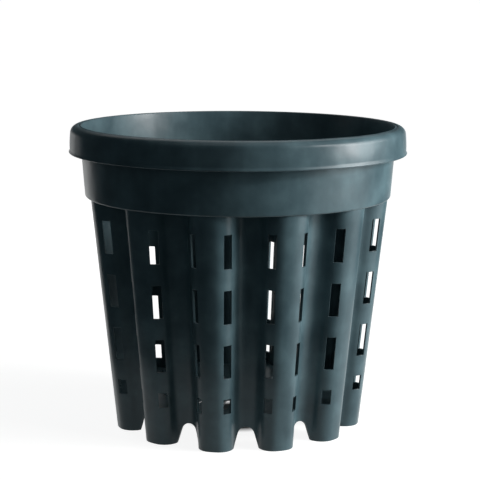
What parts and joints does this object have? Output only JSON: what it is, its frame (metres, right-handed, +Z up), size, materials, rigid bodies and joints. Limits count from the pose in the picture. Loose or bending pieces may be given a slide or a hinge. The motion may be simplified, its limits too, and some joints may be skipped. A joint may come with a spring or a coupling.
{
  "type": "air pruning pot",
  "caption": "Tapered plastic plant pot with a rolled rim, a plain collar and a fluted wall pierced by air slots, standing on arched feet over a perforated raised floor.",
  "frame": {"origin": "on the pot's axis, in the plane of the feet's undersides", "axes": "+Z up along the pot's axis, towards the mouth; flute_01 points along -Y, and the others follow anticlockwise seen from above"},
  "size_m": [0.2642, 0.2642, 0.236],
  "materials": {
    "pot_plastic": "satin, injection-moulded polypropylene, dark slate green"
  },
  "bodies": {
    "root": {"rim": "pot_plastic", "collar": "pot_plastic", "flute_01": "pot_plastic", "flute_02": "pot_plastic", "flute_03": "pot_plastic", "flute_04": "pot_plastic", "flute_05": "pot_plastic", "flute_06": "pot_plastic", "flute_07": "pot_plastic", "flute_08": "pot_plastic", "flute_09": "pot_plastic", "flute_10": "pot_plastic", "flute_11": "pot_plastic", "flute_12": "pot_plastic", "floor": "pot_plastic"}
  },
  "joints": []
}
